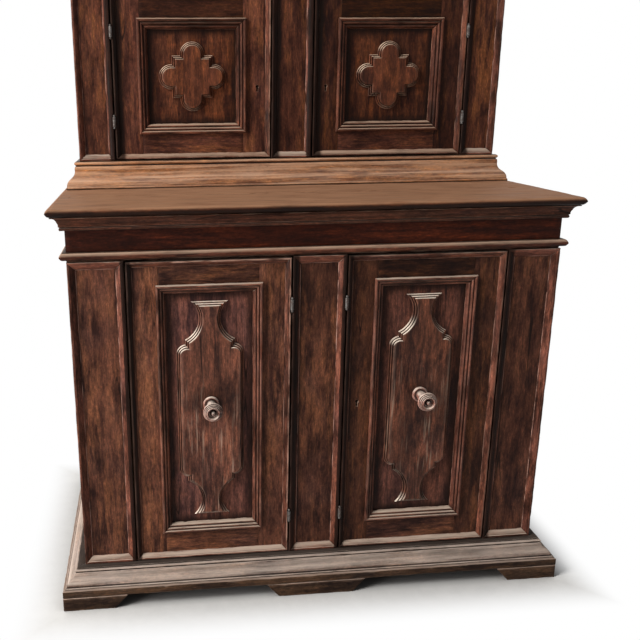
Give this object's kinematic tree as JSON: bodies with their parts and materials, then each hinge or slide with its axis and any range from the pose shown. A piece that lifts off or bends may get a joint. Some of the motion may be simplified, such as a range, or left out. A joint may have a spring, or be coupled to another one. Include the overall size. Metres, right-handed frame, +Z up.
{
  "type": "credenza",
  "caption": "Two-stage walnut credenza: a deep lower cupboard under a thick top and a shallower upper cupboard behind, each with a pair of hinged panelled doors, on bracket feet.",
  "frame": {"origin": "on the floor, under the middle of the footprint", "axes": "+X to the right seen from the front, +Y towards the back, +Z up"},
  "size_m": [1.205, 0.655, 1.533],
  "materials": {
    "walnut": "old waxed walnut, worn pale on upward edges",
    "walnut_panel": "old waxed walnut with strong grain",
    "walnut_knob": "turned walnut, hand-worn",
    "inner_wood": "unpolished board",
    "iron": "wrought, rubbed bright on the knuckles"
  },
  "bodies": {
    "root": {"base_frame": "walnut", "case_hinges": "iron", "centre_pilaster": "walnut", "cornice": "walnut", "door_stops": "inner_wood", "frieze_bead": "walnut", "front_feet": "walnut", "lower_back_boards": "inner_wood", "lower_bottom_board": "walnut", "lower_bottom_rail": "walnut", "lower_frieze": "walnut", "lower_partition": "inner_wood", "lower_shelves": "inner_wood", "lower_sides": "walnut", "outer_pilasters": "walnut", "pilaster_mouldings": "walnut", "plinth_moulding": "walnut", "rear_feet": "inner_wood", "shelf_cleats": "inner_wood", "slab_moulding": "walnut", "stile_mouldings": "walnut", "top_slab": "walnut", "upper_back_boards": "inner_wood", "upper_base_moulding": "walnut", "upper_bottom_board": "walnut", "upper_bottom_rail": "walnut", "upper_frieze": "walnut", "upper_frieze_bead": "walnut", "upper_partition": "inner_wood", "upper_shelves": "inner_wood", "upper_sides": "walnut", "upper_stiles": "walnut", "upper_top_board": "walnut"},
    "lower_door_left": {"lower_door_left_cartouche": "walnut_panel", "lower_door_left_frame": "walnut", "lower_door_left_hinge_leaves": "iron", "lower_door_left_knob": "walnut_knob", "lower_door_left_mouldings": "walnut", "lower_door_left_panel": "walnut_panel"},
    "lower_door_right": {"lower_door_right_cartouche": "walnut_panel", "lower_door_right_frame": "walnut", "lower_door_right_hinge_leaves": "iron", "lower_door_right_knob": "walnut_knob", "lower_door_right_mouldings": "walnut", "lower_door_right_panel": "walnut_panel"},
    "upper_door_left": {"upper_door_left_frame": "walnut", "upper_door_left_hinge_leaves": "iron", "upper_door_left_lock_case": "iron", "upper_door_left_mouldings": "walnut", "upper_door_left_panel": "walnut_panel", "upper_door_left_quatrefoil": "walnut_panel"},
    "upper_door_right": {"upper_door_right_frame": "walnut", "upper_door_right_hinge_leaves": "iron", "upper_door_right_lock_case": "iron", "upper_door_right_mouldings": "walnut", "upper_door_right_panel": "walnut_panel", "upper_door_right_quatrefoil": "walnut_panel"},
    "upper_door_left_bolt": {"upper_door_left_lock_bolt": "iron"},
    "upper_door_right_bolt": {"upper_door_right_lock_bolt": "iron"}
  },
  "joints": [
    {"name": "lower_door_left_swing", "type": "hinge", "parent": "root", "child": "lower_door_left", "pos_m": [-0.062, -0.2715, 0.46], "axis": [0, 0, 1], "range_deg": [0, 90]},
    {"name": "lower_door_right_swing", "type": "hinge", "parent": "root", "child": "lower_door_right", "pos_m": [0.062, -0.2715, 0.46], "axis": [0, 0, -1], "range_deg": [0, 90]},
    {"name": "upper_door_left_swing", "type": "hinge", "parent": "root", "child": "upper_door_left", "pos_m": [-0.4495, 0.0835, 1.2145], "axis": [0, 0, -1], "range_deg": [0, 110]},
    {"name": "upper_door_right_swing", "type": "hinge", "parent": "root", "child": "upper_door_right", "pos_m": [0.4495, 0.0835, 1.2145], "axis": [0, 0, 1], "range_deg": [0, 110]},
    {"name": "upper_door_left_bolt_slide", "type": "slide", "parent": "upper_door_left", "child": "upper_door_left_bolt", "axis": [1, 0, 0], "range_m": [0, 0.012]},
    {"name": "upper_door_right_bolt_slide", "type": "slide", "parent": "upper_door_right", "child": "upper_door_right_bolt", "axis": [-1, 0, 0], "range_m": [0, 0.012]}
  ]
}
